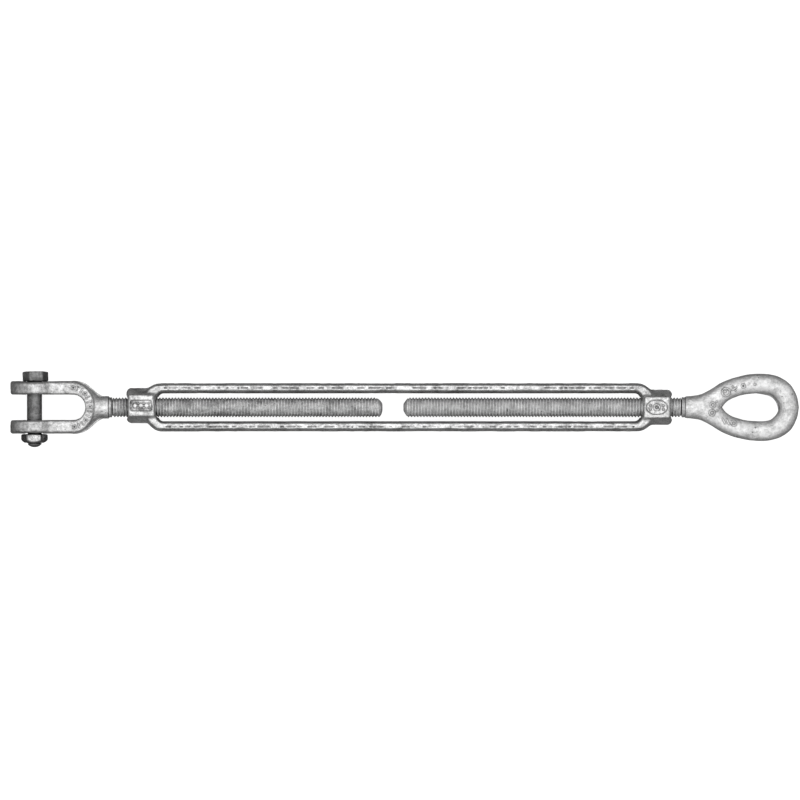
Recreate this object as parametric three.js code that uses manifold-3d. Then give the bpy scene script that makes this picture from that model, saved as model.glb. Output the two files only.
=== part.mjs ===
// A rigging turnbuckle with a jaw at one end and an eye at the other: half-inch thread,
// twelve inches of take-up. Sizes are millimetres.
// +X runs along the thread axis towards the eye, +Y along the jaw bolt towards its head, and
// +Z is up from the surface the turnbuckle lies on. The origin is on the thread axis, half way
// between the tip of the jaw and the tip of the eye.
import * as THREE from 'three';
import { mergeVertices } from 'three/addons/utils/BufferGeometryUtils.js';
import Module from 'manifold-3d';

const wasm = await Module();
wasm.setup();

const INCH = 25.4;
const GAP = 0.3; // left between pieces that touch
const WELD = 1e-4;
const ROUND_SIDES = 24;

// Thread: half-inch, 13 to the inch, right-hand in the jaw's end of the body, left-hand in the eye's
const PITCH = INCH / 13;
const CREST_RADIUS = 6.1;
const ROOT_RADIUS = 5.0;
const THREAD_SIDES = 12;
const THREAD_SLACK = 0.2;
const RIGHT_HAND = 1;
const LEFT_HAND = -1;

// Body: two hexagonal heads joined by two straight bars, called reins, with a window between them
const BODY_CENTRE = -3.4;
const BODY_LENGTH = 13.5 * INCH;
const BODY_HALF_WIDTH = 15.2;
const HEAD_FLATS = 0.75 * INCH;
const HEAD_PRISM = 21.5;
const JAW_HEAD_OFFSET = 1.1; // the jaw's head was forged a little to one side of its hole
const REIN_DEPTH = 12.7;
const PARTING_BAND = 0.7;
const WINDOW_LENGTH = 302.9;
const WINDOW_HALF_WIDTH = 8.9;
const WINDOW_CORNER = 3.5;
const DRAFT = 0.236; // sideways slope of a forged side for each mm away from the parting plane

// Jaw
const JAW_TIP = -247.8;
const BOLT_X = -232.7;
const JAW_HALF_WIDTH = 16.5;
const JAW_HALF_GAP = 7.95;
const EAR_CENTRE = -233.5;
const EAR_RADIUS = 14.3;
const ARM_HALF_DEPTH = 9.5;
const CROOK_CENTRE = -208.45;
const JAW_SHOULDER = -186;
const JAW_ROD_TIP = -13.9;
const BOLT_HOLE_RADIUS = 5.25;

// Eye
const EYE_TIP = 248.1;
const EYE_HALF_DEPTH = 6.35;
const EYE_EDGE = 4;
const EYE_SHOULDER = 176.2;
const EYE_ROD_TIP = -0.8;

// The ring where each thread runs out against the neck of its fitting
const COLLAR_WIDTH = 1.6;
const COLLAR_RADIUS = 6.45;
const CORE_RADIUS = 4.7;

// Jaw bolt and nut: 3/8 inch
const BOLT_RADIUS = 4.76;
const BOLT_TIP = -25.2;
const BOLT_CHAMFER = 1.3;
const HEX_FLATS = 9 / 16 * INCH;
const HEX_CHAMFER = 0.7;
const BOLT_HEAD_HEIGHT = 5.8;
const BOLT_HEAD_TURN = 0.15;
const NUT_HEIGHT = 5.6;
const NUT_BORE_RADIUS = 5.15;

const STEEL = {
  forging: { color: 0xc9cbcc, roughness: 0.5, metalness: 0.85 },
  fastener: { color: 0x8d9092, roughness: 0.45, metalness: 0.9 },
};

// A closed geometry as a solid that can be joined and cut
function solid(geometry) {
  geometry.deleteAttribute('normal');
  geometry.deleteAttribute('uv');
  const merged = mergeVertices(geometry, WELD);
  const corners = merged.index.array;
  const kept = [];
  for (let i = 0; i < corners.length; i += 3) {
    const [a, b, c] = corners.slice(i, i + 3);
    if (a !== b && b !== c && c !== a) {
      kept.push(a, b, c);
    }
  }
  const vertProperties = new Float32Array(merged.attributes.position.array);
  const triVerts = new Uint32Array(kept);
  return new wasm.Manifold(new wasm.Mesh({ numProp: 3, vertProperties, triVerts }));
}

function part(name, body, finish) {
  const mesh = body.getMesh();
  const geometry = new THREE.BufferGeometry();
  geometry.setAttribute('position', new THREE.BufferAttribute(mesh.vertProperties, 3));
  geometry.setIndex(new THREE.BufferAttribute(mesh.triVerts, 1));
  geometry.computeVertexNormals();
  const node = new THREE.Mesh(geometry, new THREE.MeshStandardMaterial(finish));
  node.name = name;
  return node;
}

// A turned shape about the Y axis, from [height, radius] points
function turned(points, sides = ROUND_SIDES) {
  return new THREE.LatheGeometry(points.map(([height, radius]) => new THREE.Vector2(radius, height)), sides);
}

// The same about the X axis
function turnedX(points, sides = ROUND_SIDES) {
  return turned(points, sides).rotateZ(-Math.PI / 2);
}

// A hexagonal prism about the Y axis, with two flats facing along Z
function hexagon(flats, height) {
  const radius = flats / 2 / Math.cos(Math.PI / 6);
  return new THREE.CylinderGeometry(radius, radius, height, 6, 1, false, Math.PI / 6);
}

// An outline in the XY plane, extruded evenly to both sides of it
function plate(outline, depth, curveSegments = 8) {
  const settings = { depth, curveSegments, bevelEnabled: false };
  return new THREE.ExtrudeGeometry(outline, settings).translate(0, 0, -depth / 2);
}

// A V thread about the X axis: a zigzag lathe, sheared by one pitch for each turn. The shear leaves
// a step in the first and the last turn, and its edge is drawn in to the axis to close it. Threads
// of one hand are in phase wherever they start, so a rod fits its tapped hole.
function thread(from, to, crest, root, hand) {
  const first = Math.floor(from / PITCH) - 1;
  const turns = Math.ceil(to / PITCH) + 1 - first;
  const rows = 2 * turns;
  const points = [[first * PITCH, 0]];
  for (let row = 0; row <= rows; row += 1) {
    points.push([(first + row / 2) * PITCH, row % 2 ? crest : root]);
  }
  points.push([(first + turns) * PITCH, 0]);
  const geometry = turnedX(points, THREAD_SIDES);
  const position = geometry.attributes.position;
  const startColumn = hand === RIGHT_HAND ? 0 : THREAD_SIDES;
  for (let column = 0; column <= THREAD_SIDES; column += 1) {
    for (let row = 0; row <= rows; row += 1) {
      const index = column * points.length + row + 1;
      const atStart = column === startColumn && row < 2;
      const atEnd = column === THREAD_SIDES - startColumn && row > rows - 2;
      if (atStart || atEnd) {
        position.setXYZ(index, (atStart ? first : first + turns) * PITCH, 0, 0);
      } else {
        const steps = THREAD_SIDES * (2 * first + row) + 2 * hand * column;
        position.setX(index, PITCH * steps / (2 * THREAD_SIDES));
      }
    }
  }
  return solid(geometry);
}

function tappedHole(from, to, hand) {
  const spread = 1 / Math.cos(Math.PI / THREAD_SIDES);
  return thread(from, to, CREST_RADIUS * spread + THREAD_SLACK, ROOT_RADIUS * spread + THREAD_SLACK, hand);
}

// The window's outline, and a cutter that widens from it away from the parting plane on both sides
function windowCutter() {
  const half = WINDOW_LENGTH / 2;
  const width = WINDOW_HALF_WIDTH;
  const corner = WINDOW_CORNER;
  const outline = new THREE.Shape();
  outline.moveTo(-half + corner, -width);
  outline.lineTo(half - corner, -width);
  outline.absarc(half - corner, -width + corner, corner, -Math.PI / 2, 0);
  outline.absarc(half - corner, width - corner, corner, 0, Math.PI / 2);
  outline.absarc(-half + corner, width - corner, corner, Math.PI / 2, Math.PI);
  outline.absarc(-half + corner, -width + corner, corner, Math.PI, Math.PI * 3 / 2);
  const rise = HEAD_FLATS / 2 + 1;
  const settings = {
    depth: 1,
    curveSegments: 4,
    bevelThickness: rise,
    bevelSize: rise * DRAFT,
    bevelSegments: 1,
  };
  const upper = new THREE.ExtrudeGeometry(outline, settings).translate(0, 0, rise - WELD);
  const lower = upper.clone().rotateX(Math.PI);
  return solid(upper).add(solid(lower));
}

// Both reins from above: they grow out of the heads' corners and spread at a slant
function reinPlate() {
  const slantStart = BODY_LENGTH / 2 - 13.4;
  const slantEnd = BODY_LENGTH / 2 - 19;
  const headHalf = HEAD_FLATS / 2 / Math.cos(Math.PI / 6);
  const corner = (end, side, shift) => [
    new THREE.Vector2(end * slantEnd, side * BODY_HALF_WIDTH),
    new THREE.Vector2(end * slantStart, side * headHalf + shift),
    new THREE.Vector2(end * (slantStart + 6), side * (headHalf - 3.7) + shift),
  ];
  const outline = new THREE.Shape([
    ...corner(1, -1, 0),
    ...corner(1, 1, 0).reverse(),
    ...corner(-1, 1, JAW_HEAD_OFFSET),
    ...corner(-1, -1, JAW_HEAD_OFFSET).reverse(),
  ]);
  const slope = (REIN_DEPTH - PARTING_BAND) / 2;
  const settings = {
    depth: PARTING_BAND,
    bevelThickness: slope,
    bevelSize: slope * DRAFT,
    bevelOffset: -slope * DRAFT,
    bevelSegments: 1,
  };
  return new THREE.ExtrudeGeometry(outline, settings).translate(0, 0, -PARTING_BAND / 2);
}

// A hexagonal head with its outer end rounded off, for the +X end
function head() {
  const face = BODY_LENGTH / 2;
  const inner = face - HEAD_PRISM;
  const prism = hexagon(HEAD_FLATS, HEAD_PRISM).rotateZ(-Math.PI / 2);
  const barrel = turnedX([
    [inner - 1, 0],
    [inner - 1, 12],
    [face - 2.6, 12],
    [face - 0.9, 10],
    [face, 8.4],
    [face, 0],
  ]);
  return solid(prism.translate(face - HEAD_PRISM / 2, 0, 0)).intersect(solid(barrel));
}

function turnbuckleBody() {
  const right = head();
  const left = right.rotate([0, 180, 0]).translate([0, JAW_HEAD_OFFSET, 0]);
  const forging = solid(reinPlate()).add(right).add(left).subtract(windowCutter());
  const blank = forging.translate([BODY_CENTRE, 0, 0]);
  const leftFace = BODY_CENTRE - BODY_LENGTH / 2;
  const rightFace = BODY_CENTRE + BODY_LENGTH / 2;
  const jawHole = tappedHole(leftFace, leftFace + HEAD_PRISM, RIGHT_HAND);
  const eyeHole = tappedHole(rightFace - HEAD_PRISM, rightFace, LEFT_HAND);
  return blank.subtract(jawHole).subtract(eyeHole);
}

// The fork from above, with a round bottom to its gap
function jawPlan() {
  const outline = new THREE.Shape();
  outline.moveTo(JAW_TIP - 1, -JAW_HALF_WIDTH);
  outline.lineTo(-206, -JAW_HALF_WIDTH);
  outline.bezierCurveTo(-197, -JAW_HALF_WIDTH, -196, -8.4, -190, -6.6);
  outline.lineTo(-190, 6.6);
  outline.bezierCurveTo(-196, 8.4, -197, JAW_HALF_WIDTH, -206, JAW_HALF_WIDTH);
  outline.lineTo(JAW_TIP - 1, JAW_HALF_WIDTH);
  outline.lineTo(JAW_TIP - 1, JAW_HALF_GAP);
  outline.absarc(CROOK_CENTRE, 0, JAW_HALF_GAP, Math.PI / 2, -Math.PI / 2, true);
  outline.lineTo(JAW_TIP - 1, -JAW_HALF_GAP);
  return plate(outline, 2 * EAR_RADIUS + 2);
}

// The fork from the side: round ears, then arms that narrow to the neck
function jawSide() {
  const join = Math.asin(ARM_HALF_DEPTH / EAR_RADIUS);
  const outline = new THREE.Shape();
  outline.moveTo(-190, -4.5);
  outline.lineTo(-190, 4.5);
  outline.lineTo(-194.5, 8);
  outline.lineTo(-197, ARM_HALF_DEPTH);
  outline.absarc(EAR_CENTRE, 0, EAR_RADIUS, join, -join);
  outline.lineTo(-197, -ARM_HALF_DEPTH);
  outline.lineTo(-194.5, -8);
  return plate(outline, 2 * JAW_HALF_WIDTH + 2, 28).rotateX(Math.PI / 2);
}

function jawFitting() {
  const fork = solid(jawPlan()).intersect(solid(jawSide()));
  const core = JAW_SHOULDER + COLLAR_WIDTH + 2 * GAP;
  const neck = turnedX([
    [-199.5, 0],
    [-199.5, 7],
    [-196, 8.2],
    [-192.5, 7.7],
    [-190, 6.9],
    [JAW_SHOULDER, 6.6],
    [JAW_SHOULDER, CORE_RADIUS],
    [core + 1, CORE_RADIUS],
    [core + 1, 0],
  ]);
  const envelope = turnedX([
    [core, 0],
    [core, CREST_RADIUS + 0.4],
    [JAW_ROD_TIP - 5.5, CREST_RADIUS + 0.4],
    [JAW_ROD_TIP - 2, 5.4],
    [JAW_ROD_TIP - 0.5, 4.3],
    [JAW_ROD_TIP, 3],
    [JAW_ROD_TIP, 0],
  ]);
  const rod = thread(core, JAW_ROD_TIP, CREST_RADIUS, ROOT_RADIUS, RIGHT_HAND).intersect(solid(envelope));
  const holeLength = 2 * JAW_HALF_WIDTH + 2;
  const hole = new THREE.CylinderGeometry(BOLT_HOLE_RADIUS, BOLT_HOLE_RADIUS, holeLength, ROUND_SIDES);
  return fork.add(solid(neck)).add(rod).subtract(solid(hole.translate(BOLT_X, 0, 0)));
}

// A counterclockwise loop that is the same on both sides of the X axis, through the points of
// its +Y side
function mirroredLoop(Kind, halfPoints) {
  const lower = halfPoints.map(([x, y]) => new THREE.Vector2(x, -y));
  const upper = halfPoints.slice(0, -1).reverse().map(([x, y]) => new THREE.Vector2(x, y));
  const loop = new Kind();
  loop.moveTo(lower[0].x, lower[0].y);
  loop.splineThru([...lower.slice(1), ...upper]);
  return loop;
}

function eyeRing() {
  const outline = mirroredLoop(THREE.Shape, [
    [177.5, 5.6],
    [184, 7.2],
    [192, 11.2],
    [199, 15.4],
    [208, 18.9],
    [221, 21.3],
    [233, 20.1],
    [242, 14.8],
    [EYE_TIP, 0],
  ]);
  outline.holes.push(mirroredLoop(THREE.Path, [
    [199.4, 0],
    [203.5, 4.3],
    [210, 7.3],
    [221.5, 8.8],
    [229.5, 7.6],
    [233.5, 4.2],
    [234.9, 0],
  ]));
  const settings = {
    depth: 2 * (EYE_HALF_DEPTH - EYE_EDGE),
    curveSegments: 3,
    bevelThickness: EYE_EDGE,
    bevelSize: EYE_EDGE,
    bevelOffset: -EYE_EDGE,
    bevelSegments: 3,
  };
  return new THREE.ExtrudeGeometry(outline, settings).translate(0, 0, EYE_EDGE - EYE_HALF_DEPTH);
}

function eyeFitting() {
  const core = EYE_SHOULDER - COLLAR_WIDTH - 2 * GAP;
  const neck = turnedX([
    [core - 1, 0],
    [core - 1, CORE_RADIUS],
    [EYE_SHOULDER, CORE_RADIUS],
    [EYE_SHOULDER, 6.4],
    [183, 6.6],
    [188, 6.4],
    [194, 5.6],
    [194, 0],
  ]);
  const envelope = turnedX([
    [EYE_ROD_TIP, 0],
    [EYE_ROD_TIP, 3.9],
    [EYE_ROD_TIP + 3, CREST_RADIUS + 0.4],
    [core, CREST_RADIUS + 0.4],
    [core, 0],
  ]);
  const rod = thread(EYE_ROD_TIP, core, CREST_RADIUS, ROOT_RADIUS, LEFT_HAND).intersect(solid(envelope));
  return solid(eyeRing()).add(solid(neck)).add(rod);
}

// A ring about the X axis, from x = 0 to its width
function neckCollar() {
  const inner = CORE_RADIUS + GAP;
  return solid(turnedX([
    [0, inner],
    [0, COLLAR_RADIUS],
    [COLLAR_WIDTH, COLLAR_RADIUS],
    [COLLAR_WIDTH, inner],
    [0, inner],
  ]));
}

// The bolt stands along Y with the jaw's middle at its origin
function jawBolt() {
  const under = JAW_HALF_WIDTH + GAP;
  const top = under + BOLT_HEAD_HEIGHT;
  const prism = hexagon(HEX_FLATS, BOLT_HEAD_HEIGHT).rotateY(BOLT_HEAD_TURN);
  const dome = turned([[under, 0], [under, 9], [top - HEX_CHAMFER, 8.4], [top, 7], [top, 0]]);
  const hexHead = solid(prism.translate(0, under + BOLT_HEAD_HEIGHT / 2, 0)).intersect(solid(dome));
  const shank = turned([
    [BOLT_TIP, 0],
    [BOLT_TIP, BOLT_RADIUS - BOLT_CHAMFER],
    [BOLT_TIP + BOLT_CHAMFER, BOLT_RADIUS],
    [under + 1, BOLT_RADIUS],
    [under + 1, 0],
  ]);
  return solid(shank).add(hexHead);
}

// The nut stands on its bore, along Y, with its middle at its origin
function jawBoltNut() {
  const half = NUT_HEIGHT / 2;
  const prism = solid(hexagon(HEX_FLATS, NUT_HEIGHT));
  const dome = turned([
    [-half, 0],
    [-half, 7],
    [HEX_CHAMFER - half, 8.4],
    [half - HEX_CHAMFER, 8.4],
    [half, 7],
    [half, 0],
  ]);
  const bore = new THREE.CylinderGeometry(NUT_BORE_RADIUS, NUT_BORE_RADIUS, NUT_HEIGHT + 2, ROUND_SIDES);
  return prism.intersect(solid(dome)).subtract(solid(bore));
}

const turnbuckle = new THREE.Group();
turnbuckle.add(part('turnbuckle_body', turnbuckleBody(), STEEL.forging));

const jawEnd = new THREE.Group();
const jawCollar = part('jaw_neck_collar', neckCollar(), STEEL.forging);
jawCollar.position.x = JAW_SHOULDER + GAP;
jawEnd.add(part('jaw_fitting', jawFitting(), STEEL.forging), jawCollar);

const boltAxis = new THREE.Group();
boltAxis.position.x = BOLT_X;
const nut = part('jaw_bolt_nut', jawBoltNut(), STEEL.fastener);
nut.position.y = -JAW_HALF_WIDTH - GAP - NUT_HEIGHT / 2;
boltAxis.add(part('jaw_bolt', jawBolt(), STEEL.fastener), nut);
jawEnd.add(boltAxis);

const eyeEnd = new THREE.Group();
const eyeCollar = part('eye_neck_collar', neckCollar(), STEEL.forging);
eyeCollar.position.x = EYE_SHOULDER - GAP - COLLAR_WIDTH;
eyeEnd.add(part('eye_fitting', eyeFitting(), STEEL.forging), eyeCollar);

turnbuckle.add(jawEnd, eyeEnd);

export default turnbuckle;
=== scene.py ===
import math

import bmesh
import bpy
import numpy as np
import openvdb
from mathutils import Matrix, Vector


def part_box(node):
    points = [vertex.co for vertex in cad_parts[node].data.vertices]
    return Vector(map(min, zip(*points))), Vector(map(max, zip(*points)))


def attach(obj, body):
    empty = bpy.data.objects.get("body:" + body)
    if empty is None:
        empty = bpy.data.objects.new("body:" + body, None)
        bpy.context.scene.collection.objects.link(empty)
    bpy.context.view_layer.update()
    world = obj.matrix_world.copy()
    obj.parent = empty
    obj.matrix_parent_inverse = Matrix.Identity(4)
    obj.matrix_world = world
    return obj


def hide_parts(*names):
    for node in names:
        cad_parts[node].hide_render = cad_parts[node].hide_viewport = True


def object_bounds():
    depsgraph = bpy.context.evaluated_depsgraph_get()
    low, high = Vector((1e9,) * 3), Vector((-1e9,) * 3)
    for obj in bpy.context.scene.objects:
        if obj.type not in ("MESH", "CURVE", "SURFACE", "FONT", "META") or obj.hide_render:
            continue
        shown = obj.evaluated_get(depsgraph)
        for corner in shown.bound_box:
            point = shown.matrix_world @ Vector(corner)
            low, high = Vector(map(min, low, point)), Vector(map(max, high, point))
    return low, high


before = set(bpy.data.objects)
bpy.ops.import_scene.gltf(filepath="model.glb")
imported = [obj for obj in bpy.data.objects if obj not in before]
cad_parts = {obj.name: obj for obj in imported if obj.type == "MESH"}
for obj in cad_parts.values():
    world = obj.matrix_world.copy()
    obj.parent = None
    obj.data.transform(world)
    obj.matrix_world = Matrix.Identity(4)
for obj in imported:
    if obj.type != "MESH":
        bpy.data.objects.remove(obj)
cad_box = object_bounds()

# Sizes are in millimetres until a mesh is made, and in metres once multiplied by MM
MM = 0.001
INCH = 25.4

# Sines and cosines, for the sides of hexagons and for chamfers
SIN_30 = 0.5
COS_30 = 0.866
SIN_40 = 0.64
COS_40 = 0.77
SIN_45 = 0.707

# The rods' screw thread. Zinc fills its roots, and beside the run-out ring only its core is left
PITCH = INCH / 13
RIGHT_HAND = 1
LEFT_HAND = -1
CREST_RADIUS = 6.2
ROOT_RADIUS = 5.4
CORE_RADIUS = 4.7
CLEAR_OF_THREAD = CREST_RADIUS + 0.4
TAPPED_RADIUS = 6.42
RUN_OUT_SLOPE = 2.5
ROD_SIDES = 56
ROWS_PER_TURN = 12
ROD_OVERLAP = 3.5  # the length of a rod that is buried in its forging
RING_GAP = 0.3  # between a run-out ring and the forging it belongs to

# The body. A draft is how far a forged side slopes for each mm away from the parting plane
REIN_HALF_DEPTH = 6.35
REIN_MIDDLE = 12.2
WINDOW_HALF_WIDTH = 8.9
SIDE_DRAFT = 0.236
END_DRAFT = 0.2
REIN_LEAN = 0.045
HEAD_LENGTH = 24
HEAD_FLAT_HALF_WIDTH = 6.3
JAW_HEAD_OFFSET = 1.1  # the jaw's head was forged a little to one side of its hole

# The jaw and the eye
JAW_DRAFT = 0.07
JAW_HALF_GAP = 7.95
ARM_HALF_DEPTH = 9.5
BOLT_HOLE_RADIUS = 5.25
EYE_HALF_DEPTH = 6.32
EYE_EDGE = 5.2
MARK_HEIGHT = 0.75

# The jaw's bolt and nut
BOLT_RADIUS = 4.72
BOLT_PITCH = INCH / 16
BOLT_THREAD_TOP = -15.5
BOLT_HEAD_HEIGHT = 5.8
BOLT_HEAD_HALF_FLATS = 7.1
BOLT_HEAD_TURN = 0.15  # radians
BOLT_HEAD_OFFSET = 0.6  # the head is a little off its shank
NUT_HALF_FLATS = 7.3
NUT_BORE_RADIUS = 4.95


def node_box(name):
    """Lowest and highest corners of a CAD node, in millimetres"""
    low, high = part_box(name)
    return np.array(low) / MM, np.array(high) / MM


BODY_LOW, BODY_HIGH = node_box("turnbuckle_body")
JAW_LOW, JAW_HIGH = node_box("jaw_fitting")
EYE_LOW, EYE_HIGH = node_box("eye_fitting")
BOLT_LOW, BOLT_HIGH = node_box("jaw_bolt")
NUT_LOW, NUT_HIGH = node_box("jaw_bolt_nut")
JAW_RING_LOW, JAW_RING_HIGH = node_box("jaw_neck_collar")
EYE_RING_LOW, EYE_RING_HIGH = node_box("eye_neck_collar")


# ---- fields: distances from a surface on a grid of points, negative inside ----

def smooth_min(a, b, k):
    """The union of two fields, with a fillet of about size k between them"""
    h = np.clip(0.5 + 0.5 * (b - a) / k, 0, 1)
    return b + (a - b) * h - k * h * (1 - h)


def smooth_max(a, b, k):
    """What two fields have in common, with an edge rounded by about k"""
    return -smooth_min(-a, -b, k)


def axes(low, high, step):
    """The grid's three axes, with room for the surface all round"""
    return [np.arange(a - 3 * step, b + 3.5 * step, step, dtype=np.float32) for a, b in zip(low, high)]


def spread(grid):
    """The three axes, shaped so that they fill the grid together"""
    xs, ys, zs = grid
    return xs[:, None, None], ys[None, :, None], zs[None, None, :]


def lumps(grid, size, seed):
    """A smooth random field, about -1 to 1, with features of that size"""
    weights = []
    for values in grid:
        t = (values - values[0]) / size
        cells = int(t[-1]) + 4
        d = np.abs(t[:, None] + 1 - np.arange(cells)[None, :])
        # the cubic B-spline's weight at distance d
        near = 2 / 3 - d ** 2 + d ** 3 / 2
        far = np.clip(2 - d, 0, None) ** 3 / 6
        weights.append(np.where(d < 1, near, far).astype(np.float32))
    cells = [w.shape[1] for w in weights]
    field = np.random.default_rng(seed).uniform(-1, 1, cells).astype(np.float32)
    field = np.tensordot(weights[0], field, (1, 0))
    field = np.tensordot(field, weights[1], (1, 1))
    field = np.tensordot(field, weights[2], (1, 1))
    return field * 2.2


def ridge(distance, width):
    """1 where the distance is 0, falling smoothly to 0 at about twice the width"""
    return np.exp(-(distance / width) ** 2)


def outline_distance(points, xs, ys):
    """Distance from a closed outline in the XY plane, negative inside it"""
    px, py = np.meshgrid(xs, ys, indexing="ij")
    best = np.full(px.shape, 1e9, np.float32)
    inside = np.zeros(px.shape, bool)
    for (ax, ay), (bx, by) in zip(points, np.roll(points, -1, axis=0)):
        ex, ey = bx - ax, by - ay
        wx, wy = px - ax, py - ay
        t = np.clip((wx * ex + wy * ey) / max(ex * ex + ey * ey, 1e-9), 0, 1)
        best = np.minimum(best, (wx - ex * t) ** 2 + (wy - ey * t) ** 2)
        crosses = (ay > py) != (by > py)
        if ay != by:
            inside ^= crosses & (px < ex * (py - ay) / ey + ax)
    return (np.where(inside, -1, 1) * np.sqrt(best)).astype(np.float32)


def spline(points, samples=10):
    """Points on a smooth curve through these points"""
    p = np.array(points, float)
    p = np.vstack([2 * p[0] - p[1], p, 2 * p[-1] - p[-2]])
    out = []
    for i in range(1, len(p) - 2):
        for t in np.arange(samples) / samples:
            a, b, c, d = p[i - 1:i + 3]
            bend = (2 * a - 5 * b + 4 * c - d) * t ** 2 + (3 * b - a - 3 * c + d) * t ** 3
            out.append(0.5 * (2 * b + (c - a) * t + bend))
    out.append(p[-2])
    return np.array(out)


def filleted(points, radius):
    """A closed outline with its corners rounded"""
    p = np.array(points, float)
    out = []
    for before, corner, after in zip(np.roll(p, 1, axis=0), p, np.roll(p, -1, axis=0)):
        a, b = before - corner, after - corner
        la, lb = np.linalg.norm(a), np.linalg.norm(b)
        start = corner + a / la * min(radius, 0.48 * la)
        end = corner + b / lb * min(radius, 0.48 * lb)
        for t in np.linspace(0, 1, 7):
            out.append((1 - t) ** 2 * start + 2 * t * (1 - t) * corner + t ** 2 * end)
    return np.array(out)


def mirrored(points):
    """A closed outline from the points of its +Y side"""
    p = np.array(points)
    return np.vstack([p, p[::-1] * [1, -1]])


def rounded_box(px, py, half_x, half_y, corner):
    """Distance from a rectangle with rounded corners round the origin"""
    wx, wy = np.abs(px) - half_x + corner, np.abs(py) - half_y + corner
    return np.hypot(np.maximum(wx, 0), np.maximum(wy, 0)) + np.minimum(np.maximum(wx, wy), 0) - corner


def hexagon_field(u, v, half_flats, k):
    """A regular hexagonal prism with two of its flats across v"""
    return smooth_max(np.abs(v) - half_flats, np.abs(u) * COS_30 + np.abs(v) * SIN_30 - half_flats, k)


# ---- small abstract marks in the XY plane ----

def dot(x, y, cx, cy, radius):
    return np.hypot(x - cx, y - cy) - radius


def ring(x, y, cx, cy, radius, half_width):
    return np.abs(np.hypot(x - cx, y - cy) - radius) - half_width


def diamond(x, y, cx, cy, reach):
    return (np.abs(x - cx) + np.abs(y - cy) - reach) * SIN_45


def bar(x, y, ax, ay, bx, by, half_width):
    ex, ey = bx - ax, by - ay
    t = np.clip(((x - ax) * ex + (y - ay) * ey) / (ex * ex + ey * ey), 0, 1)
    return np.hypot(x - ax - ex * t, y - ay - ey * t) - half_width


def relief(marks, softness):
    """1 on the marks and 0 off them"""
    return np.clip(0.5 - np.minimum.reduce(marks) / softness, 0, 1)


# ---- meshes ----

def mesh_of(name, points, faces):
    """A mesh from points in millimetres"""
    mesh = bpy.data.meshes.new(name)
    mesh.from_pydata((points * MM).tolist(), [], faces)
    mesh.validate()
    return mesh


def add_object(name, data):
    """Puts a mesh, light or camera into the scene"""
    added = bpy.data.objects.new(name, data)
    bpy.context.scene.collection.objects.link(added)
    return added


def add_piece(name, mesh, finish):
    """Puts a smooth-shaded piece of the object into the scene"""
    mesh.shade_smooth()
    mesh.materials.append(finish)
    return add_object(name, mesh)


def surface(name, field, grid, step, finish):
    """A piece with a field's surface, its faces turned outwards"""
    band = 4 * step
    volume = openvdb.FloatGrid(band)
    volume.copyFromArray(np.ascontiguousarray(np.clip(field, -band, band), dtype=np.float32))
    points, quads = volume.convertToQuads(0.0)
    points = np.array(points, float) * step + [values[0] for values in grid]
    quads = np.array(quads, int)
    a, b, c = (points[quads[:, i]] for i in (0, 1, 2))
    if np.sum(np.einsum("ij,ij->i", a, np.cross(b, c))) < 0:
        quads = quads[:, ::-1]
    return add_piece(name, mesh_of(name, points, quads.tolist()), finish)


def unite(piece, other):
    """Joins other into piece as one closed mesh"""
    modifier = piece.modifiers.new("unite", "BOOLEAN")
    modifier.operation = "UNION"
    modifier.solver = "MANIFOLD"
    modifier.object = other
    graph = bpy.context.evaluated_depsgraph_get()
    joined = bpy.data.meshes.new_from_object(piece.evaluated_get(graph))
    piece.modifiers.clear()
    piece.data = joined
    joined.shade_smooth()
    bpy.data.objects.remove(other)
    return piece


# ---- materials ----

class Nodes:
    """Shorthand for a material's nodes. A value is a number or another node's output"""

    def __init__(self, name):
        self.material = bpy.data.materials.new(name)
        self.material.use_nodes = True
        self.tree = self.material.node_tree
        self.shader = self.tree.nodes["Principled BSDF"]
        self.place = self.add("ShaderNodeTexCoord").outputs["Object"]

    def add(self, kind):
        return self.tree.nodes.new(kind)

    def put(self, value, socket):
        if isinstance(value, bpy.types.NodeSocket):
            self.tree.links.new(value, socket)
        else:
            socket.default_value = value

    def noise(self, scale, detail, rough=0.55):
        node = self.add("ShaderNodeTexNoise")
        self.put(scale, node.inputs["Scale"])
        self.put(detail, node.inputs["Detail"])
        self.put(rough, node.inputs["Roughness"])
        self.put(self.place, node.inputs["Vector"])
        return node.outputs["Fac"]

    def calculate(self, kind, a, b):
        node = self.add("ShaderNodeMath")
        node.operation = kind
        self.put(a, node.inputs[0])
        self.put(b, node.inputs[1])
        return node.outputs[0]

    def ramp(self, value, stops):
        """Grey levels between the stops, which are pairs of place and level"""
        node = self.add("ShaderNodeValToRGB")
        for element, (at, grey) in zip(node.color_ramp.elements, stops):
            element.position = at
            element.color = (grey, grey, grey, 1)
        self.put(value, node.inputs["Fac"])
        return node.outputs["Color"]

    def map_range(self, value, limits):
        node = self.add("ShaderNodeMapRange")
        self.put(value, node.inputs["Value"])
        for name, limit in limits.items():
            self.put(limit, node.inputs[name])
        return node.outputs["Result"]

    def mix(self, kind, factor, a, b):
        node = self.add("ShaderNodeMix")
        node.data_type = "RGBA"
        node.blend_type = kind
        self.put(factor, node.inputs["Factor"])
        self.put(a, node.inputs[6])
        self.put(b, node.inputs[7])
        return node.outputs[2]

    def bump(self, height, distance):
        node = self.add("ShaderNodeBump")
        self.put(distance, node.inputs["Distance"])
        self.put(height, node.inputs["Height"])
        return node


PIT_COLOUR = (0.1, 0.1, 0.1, 1)


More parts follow.
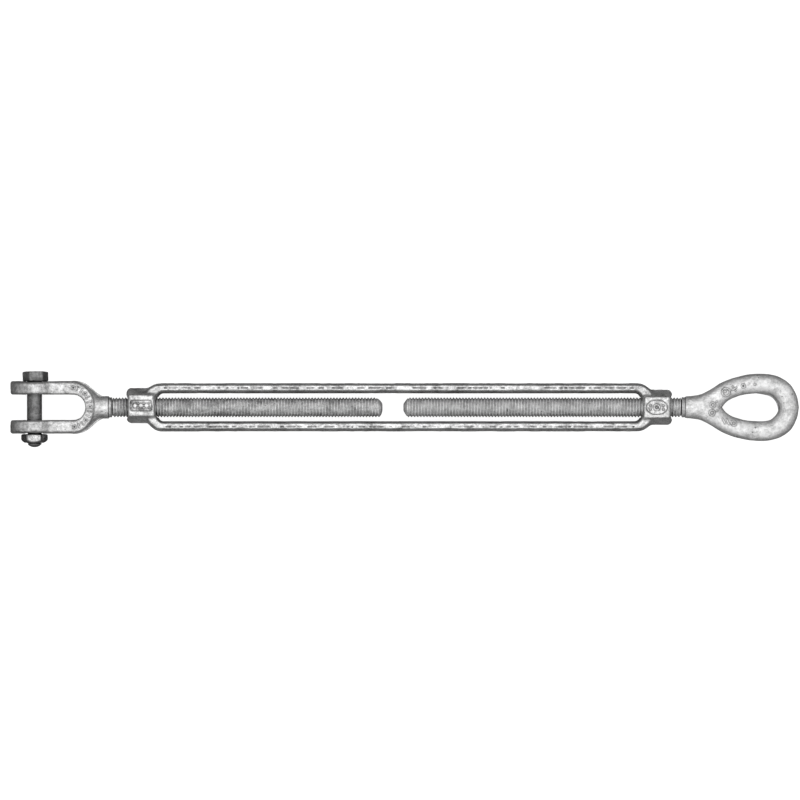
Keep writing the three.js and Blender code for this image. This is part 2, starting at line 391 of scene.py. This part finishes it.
def galvanised(name, dark, light, roughness, bump, painted_shade, metallic=0.9, end_shade=None):
    """Hot-dip zinc: clouded and speckled grey, crystals, dark pits, painted shade in corners and gaps, a
    lumpy skin.
    Distances, and the painted end shade's start and end, are in metres"""
    nodes = Nodes(name)
    nodes.put(metallic, nodes.shader.inputs["Metallic"])
    nodes.put(0.5, nodes.shader.inputs["Specular IOR Level"])
    clouds = nodes.noise(140, 3)
    speckle = nodes.noise(1100, 4, 0.7)
    mottle = nodes.noise(420, 3, 0.6)

    # grey, from clouds of three sizes
    coarse_part = nodes.calculate("MULTIPLY", clouds, 0.35)
    middle_part = nodes.calculate("MULTIPLY", mottle, 0.3)
    fine_part = nodes.calculate("MULTIPLY", speckle, 0.35)
    clouded = nodes.calculate("ADD", nodes.calculate("ADD", coarse_part, middle_part), fine_part)
    colour = nodes.ramp(clouded, [(0.36, dark), (0.56, light)])

    # each crystal has its own tint
    crystals = nodes.add("ShaderNodeTexVoronoi")
    nodes.put(260, crystals.inputs["Scale"])
    nodes.put(nodes.place, crystals.inputs["Vector"])
    tint = nodes.map_range(crystals.outputs["Color"], {"To Min": 0.86, "To Max": 1.0})
    colour = nodes.mix("MULTIPLY", 1.0, colour, tint)

    # painted shade, darkest at its start along X and gone at its end
    if end_shade:
        start, end, depth = end_shade
        along = nodes.add("ShaderNodeSeparateXYZ")
        nodes.put(nodes.place, along.inputs[0])
        wavy = nodes.calculate("ADD", along.outputs["X"], nodes.calculate("MULTIPLY", mottle, 0.006))
        fade = nodes.map_range(wavy, {"From Min": start, "From Max": end, "To Min": depth})
        colour = nodes.mix("MULTIPLY", 1.0, colour, fade)

    # pits, then painted shade: a darker grey in hollows and in narrow gaps
    pits = nodes.ramp(nodes.noise(520, 2, 0.4), [(0.70, 0.0), (0.76, 0.85)])
    colour = nodes.mix("MIX", pits, colour, PIT_COLOUR)
    painted_shade_grey = (painted_shade, painted_shade, painted_shade, 1)
    # painted shade in hollows, where pointiness is low
    hollows = nodes.add("ShaderNodeNewGeometry").outputs["Pointiness"]
    colour = nodes.mix("MIX", nodes.ramp(hollows, [(0.42, 0.9), (0.49, 0.0)]), colour, painted_shade_grey)
    # painted shade in narrow gaps, from ambient occlusion
    gaps = nodes.add("ShaderNodeAmbientOcclusion")
    gaps.samples = 6
    nodes.put(0.005, gaps.inputs["Distance"])
    colour = nodes.mix("MIX", nodes.ramp(gaps.outputs["AO"], [(0.35, 0.7), (0.8, 0.0)]), colour, painted_shade_grey)
    nodes.put(colour, nodes.shader.inputs["Base Color"])

    sheen = nodes.ramp(mottle, [(0.3, roughness + 0.12), (0.7, roughness - 0.08)])
    nodes.put(sheen, nodes.shader.inputs["Roughness"])
    coarse_skin = nodes.bump(mottle, 0.00045 * bump)
    fine_skin = nodes.bump(speckle, 0.00012 * bump)
    nodes.put(coarse_skin.outputs["Normal"], fine_skin.inputs["Normal"])
    nodes.put(fine_skin.outputs["Normal"], nodes.shader.inputs["Normal"])
    return nodes.material


# painted shade on the jaw, darkest at the ears' tip and gone 30 mm along
JAW_END_SHADE = (JAW_LOW[0] * MM, JAW_LOW[0] * MM + 0.03, 0.55)
body_finish = galvanised("galvanised_body", 0.2, 0.82, 0.4, 1.1, 0.08)
jaw_finish = galvanised("galvanised_jaw", 0.28, 0.84, 0.44, 1.3, 0.08, end_shade=JAW_END_SHADE)
eye_finish = galvanised("galvanised_eye", 0.44, 0.8, 0.5, 1.0, 0.08)
thread_finish = galvanised("galvanised_thread", 0.9, 1.0, 0.36, 0.6, 0.68, metallic=0.7)
bolt_finish = galvanised("galvanised_bolt", 0.1, 0.28, 0.46, 1.3, 0.04)
nut_finish = galvanised("galvanised_nut", 0.15, 0.6, 0.27, 1.1, 0.04, metallic=1.0)


# ---- the threaded rods ----

def thread_radius(phase):
    """Radius of a V thread with a narrow flat crest, at phase 0.5, and a rounded root"""
    off_crest = np.abs(phase % 1 - 0.5)
    slope = np.clip((off_crest - 0.07) / 0.34, 0, 1)
    slope = slope - 0.06 * np.sin(2 * np.pi * slope)
    return CREST_RADIUS + (ROOT_RADIUS - CREST_RADIUS) * slope


def uneven_skin(rows, seed):
    """Random values, about -1 to 1, that vary smoothly along a rod and round it"""
    coarse = np.random.default_rng(seed).uniform(-1, 1, (rows // 40 + 3, 9))
    coarse[:, -1] = coarse[:, 0]
    row_at = np.linspace(0, coarse.shape[0] - 1.001, rows + 1)
    side_at = np.linspace(0, 7.999, ROD_SIDES + 1)
    row, side = row_at.astype(int), side_at.astype(int)
    fr, fs = (row_at - row)[:, None], (side_at - side)[None, :]
    near = (1 - fs) * coarse[row][:, side] + fs * coarse[row][:, side + 1]
    far = (1 - fs) * coarse[row + 1][:, side] + fs * coarse[row + 1][:, side + 1]
    return (1 - fr) * near + fr * far


def threaded_rod(name, start, end, envelope, hand, seed):
    """A rod from start to end along X, whose rows of points follow the thread's helix.
    envelope(x, side) is its largest radius, with side 1 at +Y and -1 at -Y"""
    cap = 0.8 * PITCH
    first = math.floor((start - cap) / PITCH) - 2
    last = math.ceil((end + cap) / PITCH) + 2
    rows = (last - first) * ROWS_PER_TURN
    turn = np.arange(ROD_SIDES + 1) / ROD_SIDES
    angle = 2 * np.pi * turn
    phase = first + np.arange(rows + 1)[:, None] / ROWS_PER_TURN
    x = PITCH * (phase + hand * turn[None, :])
    radius = np.broadcast_to(thread_radius(phase), x.shape) + 0.03 * uneven_skin(rows, seed)
    # the smaller of the thread and the envelope, with a soft change from one to the other
    sharpness = 14
    radius = -np.logaddexp(-sharpness * radius, -sharpness * envelope(x, -np.sin(angle))) / sharpness
    # past either end the rows close in on the axis
    past = np.maximum(start - x, x - end)
    radius *= np.clip(1 - past / cap, 0, 1) ** 0.5
    x = np.clip(x, start, end)
    points = np.stack([x, -radius * np.sin(angle), radius * np.cos(angle)], axis=-1)
    index = np.arange((rows + 1) * (ROD_SIDES + 1)).reshape(rows + 1, ROD_SIDES + 1)
    # the last column is the first one, a whole turn along the helix
    shifted = np.clip(np.arange(rows + 1) + hand * ROWS_PER_TURN, 0, rows)
    index[:, ROD_SIDES] = index[shifted, 0]
    # points in the same place become one, and faces with no area go
    used, inverse = np.unique(np.round(points.reshape(-1, 3), 7), axis=0, return_inverse=True)
    index = inverse.reshape(-1)[index]
    corners = [index[:-1, :-1], index[:-1, 1:], index[1:, 1:], index[1:, :-1]]
    faces = []
    for quad in np.stack(corners, axis=-1).reshape(-1, 4).tolist():
        kept = [c for i, c in enumerate(quad) if c != quad[i - 1]]
        if len(set(kept)) >= 3:
            faces.append(kept)
    mesh = mesh_of(name, used, faces)
    whole = bmesh.new()
    whole.from_mesh(mesh)
    loose = [v for v in whole.verts if not v.link_faces]
    bmesh.ops.delete(whole, geom=loose, context="VERTS")
    bmesh.ops.recalc_face_normals(whole, faces=whole.faces[:])
    if whole.calc_volume(signed=True) < 0:
        bmesh.ops.reverse_faces(whole, faces=whole.faces[:])
    whole.to_mesh(mesh)
    whole.free()
    return add_piece(name, mesh, thread_finish)


# ---- the body ----

def make_body():
    step = 0.4
    grid = xs, ys, _ = axes(BODY_LOW, BODY_HIGH, step)
    x, y, z = spread(grid)
    px, py = xs[:, None], ys[None, :]
    centre = (BODY_LOW[0] + BODY_HIGH[0]) / 2
    half_length = (BODY_HIGH[0] - BODY_LOW[0]) / 2
    half_width = BODY_HIGH[1]
    half_flats = BODY_HIGH[2]
    half_corners = half_flats / math.cos(math.pi / 6)
    along = np.abs(x - centre)

    # reins, with slanted shoulders that end in the heads
    side = [
        (half_length - 18.8, half_width - 0.2),
        (half_length - 12.4, half_corners - 0.6),
        (half_length - 12.0, half_corners - 5.5),
    ]
    offsets = (0, JAW_HEAD_OFFSET, JAW_HEAD_OFFSET)
    corners = [(run, -out) for run, out in side] + side[::-1]
    corners += [(-run, out + dy) for (run, out), dy in zip(side, offsets)]
    corners += [(-run, dy - out) for (run, out), dy in zip(side[::-1], offsets[::-1])]
    frame_plan = outline_distance(filleted(corners, 3.0) + [centre, 0], xs, ys)[:, :, None]
    slope = math.hypot(1, SIDE_DRAFT)
    lean = REIN_LEAN * z * np.clip(y / 6, -1, 1)  # the reins are rolled a little about X
    reins = (frame_plan + SIDE_DRAFT * np.abs(z) - lean) / slope
    reins = smooth_max(reins, np.abs(z) - REIN_HALF_DEPTH + 0.06, 0.9)

    # hexagonal heads, with end faces that lean back and a bevel round each end
    across = np.abs(y - JAW_HEAD_OFFSET * (x < centre))
    run, rise = half_corners - HEAD_FLAT_HALF_WIDTH, half_flats
    sides = ((across - half_corners) * rise + np.abs(z) * run) / math.hypot(run, rise)
    hexagon = smooth_max(np.abs(z) - half_flats, sides, 0.7)
    outer_end = along + END_DRAFT * np.abs(z) - half_length
    inner_end = half_length - HEAD_LENGTH - along
    ends = smooth_max(outer_end, inner_end, 0.1)
    bevel = (hexagon + along - half_length + 1.8) * SIN_45
    heads = smooth_max(smooth_max(hexagon, ends, 0.6), bevel, 1.0)
    field = smooth_min(reins, heads, 0.9)

    # window
    window_half_length = half_length - 19.9
    window = rounded_box(px - centre, py, window_half_length, WINDOW_HALF_WIDTH, 3.6)[:, :, None]
    window = (window - SIDE_DRAFT * np.abs(z) - lean) / slope
    field = smooth_max(field, -window, 1.0)

    # parting flash, and the trimmed line along the top of each rein
    field = field - 0.3 * ridge(z, 0.45) * (0.7 + 0.3 * lumps(grid, 6, 11))
    groove = ridge(np.abs(y) - REIN_MIDDLE, 0.42) * (along < window_half_length - 4)
    broken = np.clip(lumps(grid, 1.3, 12) * 1.8 + 0.5, 0.15, 1)
    field = field + 0.9 * groove * broken * (z > 4)

    # abstract panels, sunk in the heads' upper flats, with raised marks in them
    left = centre - half_length + 9.5
    right = centre + half_length - 10.0
    left_y = py - JAW_HEAD_OFFSET
    panel = rounded_box(px - left, left_y, 6.9, 3.4, 1.6)
    oval = (np.hypot((px - right) / 6.8, py / 4.6) - 1) * 4.6
    marks = [diamond(px, left_y, left + i * 3.6, 0, 1.8) for i in (-1, 0, 1)]
    marks += [dot(px, left_y, left + i * 1.8, j * 1.6, 0.55) for i in (-3, -1, 1, 3) for j in (-1, 1)]
    marks += [ring(px, py, right, 0, 1.7, 0.5), dot(px, py, right, 0, 0.5)]
    marks += [dot(px, py, right + i * 4.0, j * 1.1, 0.7) for i in (-1, 1) for j in (-1, 1)]
    panel_depth = 1.05 * relief([panel, oval], 0.4) - 0.95 * relief(marks, 0.4)
    field = field + panel_depth[:, :, None] * (z > 7)

    # zinc, then the tapped holes with countersunk mouths
    field = field + 0.05 * lumps(grid, 4.5, 13) + 0.055 * lumps(grid, 1.6, 14)
    mouth = np.clip(1.0 - (half_length - along), 0, 1.0)
    field = smooth_max(field, TAPPED_RADIUS + mouth - np.hypot(y, z), 0.3)
    return surface("turnbuckle_forging", field, grid, step, body_finish)


# ---- the jaw ----

def jaw_marks(px, py, crook_x):
    """Abstract marks round the crook: rings, bars and pairs of dots by turns"""
    marks = []
    for i, degrees in enumerate(range(-82, 87, 14)):
        t = math.radians(degrees)
        ux, uy = math.cos(t), math.sin(t)
        cx, cy = crook_x + 11.3 * ux, 12.4 * uy
        if i % 3 == 0:
            marks.append(ring(px, py, cx, cy, 0.95, 0.33))
        elif i % 3 == 1:
            marks.append(bar(px, py, cx - 1.2 * ux, cy - 1.2 * uy, cx + 1.2 * ux, cy + 1.2 * uy, 0.42))
        else:
            marks.append(dot(px, py, cx - 0.9 * ux, cy - 0.9 * uy, 0.5))
            marks.append(dot(px, py, cx + 0.9 * ux, cy + 0.9 * uy, 0.5))
    return marks


def make_jaw():
    step = 0.28
    tip = JAW_LOW[0]
    shoulder = JAW_RING_LOW[0] - RING_GAP
    half_width = JAW_HIGH[1]
    ear_radius = JAW_HIGH[2]
    bolt_x = (BOLT_LOW[0] + BOLT_HIGH[0]) / 2
    crook_x = tip + 39.35
    grid = xs, ys, _ = axes(JAW_LOW, (shoulder, half_width, ear_radius), step)
    x, y, z = spread(grid)
    px, py = xs[:, None], ys[None, :]

    # the band: two arms and the crook that joins them, with round ears at its ends
    turn = np.linspace(0, math.pi / 2, 24)
    arc = [(crook_x + 14.6 * math.sin(t), (half_width - 0.15) * math.cos(t)) for t in turn]
    band_plan = outline_distance(mirrored([(tip - 3, half_width - 0.15)] + arc), xs, ys)[:, :, None]
    ears = np.hypot(x - tip - ear_radius, z) - ear_radius + 0.1
    arms = np.maximum(np.abs(z) - ARM_HALF_DEPTH, tip + ear_radius - x)
    depth = smooth_min(ears, arms, 1.2)
    band = smooth_max(band_plan + JAW_DRAFT * np.abs(z), depth, 2.0)

    # the fan from the crook to the neck: oval sections, and a thin ledge at the parting line
    wide = spline([
        (crook_x, 16.4), (tip + 42.8, 16.2), (tip + 46.8, 15.1), (tip + 50.5, 12.5),
        (tip + 54.2, 9.1), (tip + 56.8, 7.5), (tip + 58.8, 6.9), (shoulder, 6.75),
    ])
    deep = spline([
        (crook_x, 7.8), (tip + 50, 7.9), (tip + 54, 7.9), (tip + 57, 7.3), (tip + 59, 6.85),
        (shoulder, 6.75),
    ])
    ledge_width = 1.1 * np.clip((shoulder - 2 - xs) / 4, 0, 1)
    w = (np.interp(xs, wide[:, 0], wide[:, 1]) - ledge_width)[:, None, None]
    h = np.interp(xs, deep[:, 0], deep[:, 1])[:, None, None]
    k0 = np.sqrt((y / w) ** 2 + (z / h) ** 2)
    k1 = np.sqrt((y / w ** 2) ** 2 + (z / h ** 2) ** 2) + 1e-6
    fan = smooth_max(k0 * (k0 - 1) / k1, np.maximum(x - shoulder, crook_x - x), 0.5)
    ledge_plan = outline_distance(mirrored(wide), xs, ys)[:, :, None]
    ledge = smooth_max(ledge_plan, np.abs(z) - 0.55, 0.4)
    fan = smooth_min(fan, ledge, 0.7)
    field = smooth_min(band, fan, 0.7)

    # the gap between the arms, and the parting flash outside it
    gap = np.where(px < crook_x, np.abs(py) + 0 * px, np.hypot(px - crook_x, py)) - JAW_HALF_GAP
    gap = gap[:, :, None]
    field = smooth_max(field, -(gap - 0.02 - JAW_DRAFT * np.abs(z) * 0.6), 1.7)
    flash = 0.25 * ridge(z, 0.45) * (0.7 + 0.3 * lumps(grid, 5, 21))
    field = field - flash * (gap > 3)

    # marks, zinc and the bolt hole
    raised = relief(jaw_marks(px, py, crook_x), 0.36)[:, :, None]
    field = field - MARK_HEIGHT * raised * (z > 6)
    field = field + 0.07 * lumps(grid, 4.2, 22) + 0.07 * lumps(grid, 1.6, 23)
    field = smooth_max(field, BOLT_HOLE_RADIUS - np.hypot(x - bolt_x, z), 0.4)
    fork = surface("jaw_forging", field, grid, step, jaw_finish)

    rod_tip = JAW_HIGH[0]
    thread_start = JAW_RING_HIGH[0] + RING_GAP

    def envelope(at, side):
        from_tip = (rod_tip - at) / (5.2 + 2 * side)
        end = 1.6 + 4.9 * (1 - (1 - np.clip(from_tip, 0, 1)) ** 2) ** 0.6
        run_out = CORE_RADIUS + np.maximum(at - thread_start, 0) * RUN_OUT_SLOPE
        return np.minimum(np.minimum(end, run_out), CLEAR_OF_THREAD)

    rod = threaded_rod("jaw_rod", shoulder - ROD_OVERLAP, rod_tip, envelope, RIGHT_HAND, 24)
    return unite(fork, rod)


# ---- the eye ----

def eye_marks(px, py, tip):
    """Abstract marks round the neck's end of the eye"""
    rings = [
        (46.3, 9.6, 2.5, 0.45), (35.4, 13.4, 1.0, 0.42), (54.6, 1.5, 1.5, 0.45),
        (55.0, -3.4, 1.6, 0.45), (41.3, -10.0, 1.5, 0.45),
    ]
    dots = [
        (46.8, 9.8, 0.75), (42.0, 13.1, 0.6), (40.2, 10.4, 0.55), (28.2, 14.4, 0.75),
        (52.2, 3.6, 0.6), (51.9, -2.2, 0.65),
    ]
    bars = [(42.2, 10.9, 39.9, 12.4), (48.4, -7.0, 46.8, -10.2), (45.8, -7.4, 44.4, -10.6)]
    marks = [ring(px, py, tip - back, cy, radius, half) for back, cy, radius, half in rings]
    marks += [dot(px, py, tip - back, cy, radius) for back, cy, radius in dots]
    marks += [bar(px, py, tip - back, ay, tip - front, by, 0.5) for back, ay, front, by in bars]
    return marks


def make_eye():
    step = 0.28
    tip = EYE_HIGH[0]
    shoulder = EYE_RING_HIGH[0] + RING_GAP
    grid = xs, ys, _ = axes((shoulder, EYE_LOW[1], EYE_LOW[2]), EYE_HIGH, step)
    x, y, z = spread(grid)
    px, py = xs[:, None], ys[None, :]

    # the teardrop loop, with rounded edges
    outer = spline([
        (tip - 70.0, 5.9), (tip - 66, 6.6), (tip - 61.9, 7.8), (tip - 55.6, 11.1), (tip - 49.3, 15.0),
        (tip - 43, 17.7), (tip - 36.7, 19.5), (tip - 30.4, 20.7), (tip - 24.2, 21.1),
        (tip - 17.9, 20.6), (tip - 11.6, 18.7), (tip - 5.3, 14.1), (tip - 1.4, 7.2), (tip, 0),
    ])
    hole = spline([
        (tip - 48.4, 0), (tip - 46.2, 2.9), (tip - 43, 5.2), (tip - 39.5, 6.7), (tip - 33.5, 8.2),
        (tip - 25, 8.9), (tip - 19, 8.3), (tip - 15.4, 6.0), (tip - 13.2, 2.9), (tip - 12.7, 0),
    ])
    opening = outline_distance(mirrored(hole), xs, ys)[:, :, None]
    plan = outline_distance(mirrored(outer), xs, ys)[:, :, None]
    plan = np.maximum(plan, -opening) + EYE_EDGE
    rise = np.abs(z) - EYE_HALF_DEPTH + EYE_EDGE
    rounded = np.hypot(np.maximum(plan, 0), np.maximum(rise, 0))
    loop = rounded + np.minimum(np.maximum(plan, rise), 0) - EYE_EDGE

    # the neck
    neck = spline([
        (shoulder, 6.45), (shoulder + 3, 6.5), (shoulder + 9, 6.7), (shoulder + 14, 6.5),
        (shoulder + 21, 5.0),
    ])
    radius = np.interp(xs, neck[:, 0], neck[:, 1])[:, None, None]
    stem = smooth_max(np.hypot(y, z) - radius, np.maximum(shoulder - x, x - shoulder - 20), 0.6)
    field = smooth_min(loop, stem, 2.2)
    field = np.maximum(field, shoulder - x)

    # parting flash, and a fin of metal left where the hole was trimmed, at its outer end
    field = field - 0.22 * ridge(z, 0.5) * (0.6 + 0.4 * lumps(grid, 5, 31)) * (plan > 2)
    fin = np.clip((x - tip + 27) / 6, 0, 1) * np.clip((y + 2) / 4, 0, 1) * (opening < 4)
    field = field - 0.8 * fin * ridge(z, 0.9)

    # marks and zinc
    raised = relief(eye_marks(px, py, tip), 0.36)[:, :, None]
    field = field - MARK_HEIGHT * raised * (z > 2)
    field = field + 0.05 * lumps(grid, 5, 32) + 0.055 * lumps(grid, 1.6, 33)
    loop_piece = surface("eye_forging", field, grid, step, eye_finish)

    rod_tip = EYE_LOW[0]
    thread_end = EYE_RING_LOW[0] - RING_GAP

    def envelope(at, side):
        from_tip = (at - rod_tip) / (3.2 + 0.3 * side)
        end = 1.8 + 4.7 * np.clip(from_tip, 0, 1) ** 0.75
        run_out = CORE_RADIUS + np.maximum(thread_end - at, 0) * RUN_OUT_SLOPE
        return np.minimum(np.minimum(end, run_out), CLEAR_OF_THREAD)

    rod = threaded_rod("eye_rod", rod_tip, shoulder + ROD_OVERLAP, envelope, LEFT_HAND, 34)
    return unite(loop_piece, rod)


# ---- the run-out rings ----

def make_ring(name, low, high, finish):
    """The ring where a thread runs out, with a fine tool line round it. It is 0.12 mm longer
    than its CAD node at each end, and the rod's core passes through it"""
    step = 0.12
    inner, outer = CORE_RADIUS + 0.22, high[1] - 0.05
    grid = axes(low - [0.15, 0, 0], high + [0.15, 0, 0], step)
    x, y, z = spread(grid)
    middle = (low[0] + high[0]) / 2
    half = (high[0] - low[0]) / 2 + 0.12
    reach = np.hypot(y, z)
    groove = 0.28 * ridge(x - middle - 0.12, 0.16)
    field = smooth_max(reach - outer + groove, np.abs(x - middle) - half, 0.5)
    field = np.maximum(field, inner - reach) + 0.03 * lumps(grid, 1.6, 41)
    return surface(name, field, grid, step, finish)


# ---- the bolt and its nut ----

def make_bolt():
    step = 0.22
    grid = axes(BOLT_LOW, BOLT_HIGH, step)
    x, y, z = spread(grid)
    tip, top = BOLT_LOW[1], BOLT_HIGH[1]
    under = top - BOLT_HEAD_HEIGHT
    u = x - (BOLT_LOW[0] + BOLT_HIGH[0]) / 2
    reach = np.hypot(u, z)

    # the head, a little off its shank and turned about it
    head_u = u - BOLT_HEAD_OFFSET
    sine, cosine = math.sin(BOLT_HEAD_TURN), math.cos(BOLT_HEAD_TURN)
    head = hexagon_field(head_u * cosine - z * sine, head_u * sine + z * cosine, BOLT_HEAD_HALF_FLATS, 0.9)
    head = smooth_max(head, np.maximum(JAW_HIGH[1] - 0.1 - y, y - top + 0.1), 0.7)
    head = smooth_max(head, (np.hypot(head_u, z) - 7.35) * SIN_30 + (y - top) * COS_30, 0.6)

    # the shank, with a coarse thread below the jaw's lower ear and a domed tip
    phase = (y + BOLT_PITCH * np.arctan2(z, u) / (2 * math.pi)) / BOLT_PITCH
    off_crest = np.abs(phase % 1 - 0.5) * 2
    threaded = np.clip((BOLT_THREAD_TOP - y) / 1.5, 0, 1)
    cut = 0.85 * np.clip((off_crest - 0.12) / 0.76, 0, 1) * threaded
    shank = smooth_max(reach - BOLT_RADIUS + cut, np.maximum(tip - y, y - under - 1), 0.2)
    shank = smooth_max(shank, (tip + 2.2 * (reach / BOLT_RADIUS) ** 2 - y) * 0.75, 0.5)

    # zinc lies thicker on the head
    field = smooth_min(shank, head, 0.4)
    head_zinc = 0.14 * lumps(grid, 3.1, 51) + 0.07 * lumps(grid, 1.4, 52)
    field = field + head_zinc * (y > under - 1) + 0.035 * lumps(grid, 1.2, 53)
    return surface("jaw_bolt_detail", field, grid, step, bolt_finish)


def make_nut():
    step = 0.2
    grid = axes(NUT_LOW, NUT_HIGH, step)
    x, y, z = spread(grid)
    bottom, top = NUT_LOW[1], NUT_HIGH[1]
    u = x - (NUT_LOW[0] + NUT_HIGH[0]) / 2
    reach = np.hypot(u, z)
    field = hexagon_field(u, z, NUT_HALF_FLATS, 0.7)
    field = smooth_max(field, np.maximum(bottom + 0.06 - y, y - top + 0.04), 0.5)
    field = smooth_max(field, (reach - 6.2) * SIN_40 + (bottom - y) * COS_40, 0.7)
    field = smooth_max(field, (reach - 7.5) * SIN_30 + (y - top) * COS_30, 0.5)
    field = field + 0.09 * lumps(grid, 2.6, 61) + 0.05 * lumps(grid, 1.2, 62)
    mouth = np.clip(0.7 - np.minimum(y - bottom, top - y), 0, 0.7)
    field = smooth_max(field, NUT_BORE_RADIUS + mouth - reach, 0.25)
    return surface("jaw_nut_detail", field, grid, step, nut_finish)


FORGED = "galvanised_forging"
FASTENER = "galvanised_fastener"
jaw_ring = ("jaw_runout_ring", JAW_RING_LOW, JAW_RING_HIGH, jaw_finish)
eye_ring = ("eye_runout_ring", EYE_RING_LOW, EYE_RING_HIGH, eye_finish)
for piece, body, slot, node in (
    (make_jaw(), "jaw", FORGED, "jaw_fitting"),
    (make_eye(), "eye", FORGED, "eye_fitting"),
    (make_body(), "body", FORGED, "turnbuckle_body"),
    (make_ring(*jaw_ring), "jaw_collar", FORGED, "jaw_neck_collar"),
    (make_ring(*eye_ring), "eye_collar", FORGED, "eye_neck_collar"),
    (make_bolt(), "bolt", FASTENER, "jaw_bolt"),
    (make_nut(), "nut", FASTENER, "jaw_bolt_nut"),
):
    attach(piece, body)
    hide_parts(node)


# ---- floor, dome, light and camera, in metres ----

def glowing(name, grey, glow, roughness):
    """A plain grey material that gives off some white light"""
    material = bpy.data.materials.new(name)
    material.use_nodes = True
    inputs = material.node_tree.nodes["Principled BSDF"].inputs
    inputs["Base Color"].default_value = (grey, grey, grey, 1)
    inputs["Roughness"].default_value = roughness
    inputs["Emission Color"].default_value = (1, 1, 1, 1)
    inputs["Emission Strength"].default_value = glow
    return material


# the floor isn't seen in reflections
FLOOR_REACH = 6.0
FLOOR_Z = cad_box[0].z - 0.0001
floor_mesh = bpy.data.meshes.new("floor")
floor_signs = ((-1, -1), (1, -1), (1, 1), (-1, 1))
floor_corners = [(i * FLOOR_REACH, j * FLOOR_REACH, FLOOR_Z) for i, j in floor_signs]
floor_mesh.from_pydata(floor_corners, [], [(0, 1, 2, 3)])
floor_mesh.materials.append(glowing("floor_paper", 0.5, 0.8, 0.9))
floor = add_object("floor", floor_mesh)
floor.visible_glossy = False

# a pale dome that only the camera sees, so that the background is plain from every side
dome_mesh = bpy.data.meshes.new("dome")
dome_shape = bmesh.new()
bmesh.ops.create_uvsphere(dome_shape, u_segments=48, v_segments=24, radius=5.5)
dome_shape.to_mesh(dome_mesh)
dome_shape.free()
dome_mesh.shade_smooth()
dome_mesh.materials.append(glowing("dome_glow", 0, 1.0, 0.5))
dome = add_object("dome", dome_mesh)
for ray in ("diffuse", "glossy", "transmission", "volume_scatter", "shadow"):
    setattr(dome, "visible_" + ray, False)

# one wide softbox overhead
SOFTBOX_PLACE = (0, 0.1, 1.3)
SOFTBOX_WIDTH = 0.8
SOFTBOX_LENGTH = 1.7
softbox = bpy.data.lights.new("overhead", "AREA")
softbox.shape = "RECTANGLE"
softbox.size = SOFTBOX_WIDTH
softbox.size_y = SOFTBOX_LENGTH
softbox.energy = 1.48 * SOFTBOX_WIDTH * SOFTBOX_LENGTH * math.pi
lamp = add_object("overhead", softbox)
lamp.location = SOFTBOX_PLACE
lamp.rotation_euler = (-Vector(SOFTBOX_PLACE)).to_track_quat("-Z", "Y").to_euler()
lamp.visible_camera = False

# a sky that is dark at the horizon and pale overhead
world = bpy.data.worlds.new("studio")
bpy.context.scene.world = world
world.use_nodes = True
sky = world.node_tree.nodes
split = sky.new("ShaderNodeSeparateXYZ")
shade = sky.new("ShaderNodeMapRange")
for limit, value in (("From Min", -0.12), ("From Max", 0.4), ("To Min", 0.05), ("To Max", 0.8)):
    shade.inputs[limit].default_value = value
direction = sky.new("ShaderNodeTexCoord").outputs["Generated"]
world.node_tree.links.new(direction, split.inputs[0])
world.node_tree.links.new(split.outputs["Z"], shade.inputs["Value"])
world.node_tree.links.new(shade.outputs["Result"], sky["Background"].inputs["Color"])

# a long lens, looking straight down
FRAMED_WIDTH = 0.503
camera_data = bpy.data.cameras.new("camera")
camera_data.lens = 200
camera_data.sensor_width = 36
camera_data.clip_end = 20
camera = add_object("camera", camera_data)
camera.location = (-0.0029, 0.0046, FRAMED_WIDTH * camera_data.lens / camera_data.sensor_width)
camera.rotation_euler = (0, 0, 0)
bpy.context.scene.camera = camera
bpy.context.scene.view_settings.view_transform = "Standard"
